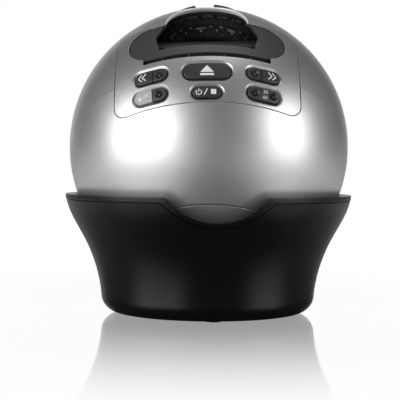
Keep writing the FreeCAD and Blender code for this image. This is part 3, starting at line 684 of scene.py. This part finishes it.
def window_brow():
    """Rounded edge of the shell over the dial window's arch, in pale paint that is a painted highlight."""
    mesh = bmesh.new()
    rows = []
    for i in range(BROW_STEPS + 1):
        a = math.radians(-BROW_END + 2 * BROW_END * i / BROW_STEPS)
        row = []
        for radius, drop in BROW_PROFILE:
            x = (ARCH_HALF - drop) * math.sin(a)
            z = ARCH_FOOT + (ARCH_RISE - drop) * math.cos(a)
            row.append(mesh.verts.new(ball_point(x, -math.sqrt(radius ** 2 - x * x - z * z), z)))
        rows.append(row)
    for first, second in zip(rows, rows[1:]):
        for k in range(len(BROW_PROFILE) - 1):
            mesh.faces.new((first[k], first[k + 1], second[k + 1], second[k])).smooth = True
    data = mesh_data("window_brow", mesh)
    data.materials.append(brow_highlight_paint())
    brow = add_object("window_brow", data)
    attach(brow, "ball")


# Studio


def floor_material():
    """White glow for the camera over a matt floor, with a reflection that fades away from the object."""
    made = bpy.data.materials.new("studio_floor")
    made.use_nodes = True
    tree = made.node_tree
    tree.nodes.clear()
    place = add_node(tree, "NewGeometry").outputs["Position"]
    parts = add_node(tree, "SeparateXYZ")
    feed(tree, parts.inputs["Vector"], place)
    sideways = math_node(tree, "ABSOLUTE", parts.outputs["X"])
    length = add_node(tree, "VectorMath", operation="LENGTH")
    feed(tree, length.inputs[0], place)
    distance = length.outputs["Value"]

    diffuse = add_node(tree, "BsdfDiffuse")
    feed(tree, diffuse.inputs["Color"], ramp(tree, sideways, FLOOR_PALER))
    glow = add_node(tree, "Emission")
    glow.inputs["Color"].default_value = WHITE
    glow.inputs["Strength"].default_value = 1.0
    shine = add_node(tree, "BsdfGlossy")
    shine.inputs["Color"].default_value = WHITE
    shine.inputs["Roughness"].default_value = FLOOR_ROUGHNESS

    camera_ray = add_node(tree, "LightPath").outputs["Is Camera Ray"]
    seen = math_node(tree, "MULTIPLY", camera_ray, ramp(tree, distance, FLOOR_WHITER))
    base = mix_shader(tree, seen, diffuse.outputs["BSDF"], glow.outputs["Emission"])
    graze = add_node(tree, "LayerWeight")
    graze.inputs["Blend"].default_value = 0.5
    gloss = math_node(tree, "MULTIPLY", graze.outputs["Facing"], ramp(tree, distance, FLOOR_MIRROR))
    out = add_node(tree, "OutputMaterial")
    feed(tree, out.inputs["Surface"], mix_shader(tree, gloss, base, shine.outputs["BSDF"]))
    return made


def studio_floor():
    """Flat stage just under the object's feet."""
    half = FLOOR_HALF
    corners = [(-half, -half, 0), (half, -half, 0), (half, half, 0), (-half, half, 0)]
    data = bpy.data.meshes.new("floor")
    data.from_pydata(corners, [], [(0, 1, 2, 3)])
    data.materials.append(floor_material())
    floor = add_object("floor", data)
    floor.location.z = -FLOOR_DROP


def studio_world():
    """White to the camera; in reflections a white backdrop behind the object in a dim room."""
    world = bpy.data.worlds.new("studio")
    scene.world = world
    world.use_nodes = True
    tree = world.node_tree
    surface = tree.nodes["Background"]
    parts = add_node(tree, "SeparateXYZ")
    feed(tree, parts.inputs["Vector"], add_node(tree, "TexCoord").outputs["Generated"])
    path = add_node(tree, "LightPath")
    camera_ray = path.outputs["Is Camera Ray"]
    behind = ramp(tree, parts.outputs["Y"], BACKDROP_BEHIND)
    low = ramp(tree, parts.outputs["Z"], BACKDROP_LOW)
    backdrop = math_node(tree, "MULTIPLY", behind, low)
    lit = math_node(tree, "MULTIPLY", backdrop, 1.0 - ROOM_LEVEL)
    mirrored = math_node(tree, "ADD", ROOM_LEVEL, lit)
    shiny = math_node(tree, "MAXIMUM", path.outputs["Is Glossy Ray"], path.outputs["Is Transmission Ray"])
    ambient = math_node(tree, "MULTIPLY", math_node(tree, "SUBTRACT", 1.0, shiny), AMBIENT_LEVEL)
    others = math_node(tree, "ADD", math_node(tree, "MULTIPLY", shiny, mirrored), ambient)
    unseen = math_node(tree, "MULTIPLY", math_node(tree, "SUBTRACT", 1.0, camera_ray), others)
    feed(tree, surface.inputs["Strength"], math_node(tree, "ADD", camera_ray, unseen))
    surface.inputs["Color"].default_value = WHITE


def softbox(name, at, aim_height, width, height, power, mirrored=True):
    """Rectangular lamp aimed at the object's axis; an unmirrored one fills without a highlight."""
    data = bpy.data.lights.new(name, "AREA")
    data.shape = "RECTANGLE"
    data.size = width
    data.size_y = height
    data.energy = power
    lamp = add_object(name, data)
    lamp.location = at
    lamp.visible_glossy = mirrored
    lamp.rotation_mode = "QUATERNION"
    lamp.rotation_quaternion = (Vector((0, 0, aim_height)) - Vector(at)).to_track_quat("-Z", "Y")


def lamps():
    softbox("left_box", (-0.84, -0.55, 0.20), aim_height=0.09, width=1.00, height=0.90, power=13.6)
    softbox("right_box", (0.87, -0.50, 0.31), aim_height=0.09, width=0.66, height=0.66, power=5.5)
    softbox("top_box", (0.05, 0.05, 1.15), aim_height=0.10, width=0.90, height=0.70, power=3.0)
    softbox("front_fill", (-0.10, -1.00, 0.13), aim_height=0.14, width=0.50, height=0.22, power=0.6,
            mirrored=False)


def camera():
    data = bpy.data.cameras.new("camera")
    data.sensor_width = SENSOR_WIDTH
    data.lens = CAMERA_LENS
    data.clip_start = CLIP_START
    made = add_object("camera", data)
    heading, pitch = math.radians(CAMERA_HEADING), math.radians(CAMERA_PITCH)
    level = math.cos(pitch)
    look = Vector((math.cos(heading) * level, math.sin(heading) * level, math.sin(pitch)))
    roll = Matrix.Rotation(math.radians(CAMERA_ROLL), 3, "Z")
    turn = look.to_track_quat("-Z", "Y").to_matrix() @ roll
    made.matrix_world = Matrix.Translation(CAMERA_AT) @ turn.to_4x4()
    scene.camera = made


dress_nodes()
bevelled_panel()
key_symbols()
time_scale()
date_scale()
window_brow()
collar_mark()
studio_floor()
studio_world()
lamps()
camera()
scene.view_settings.view_transform = "Standard"
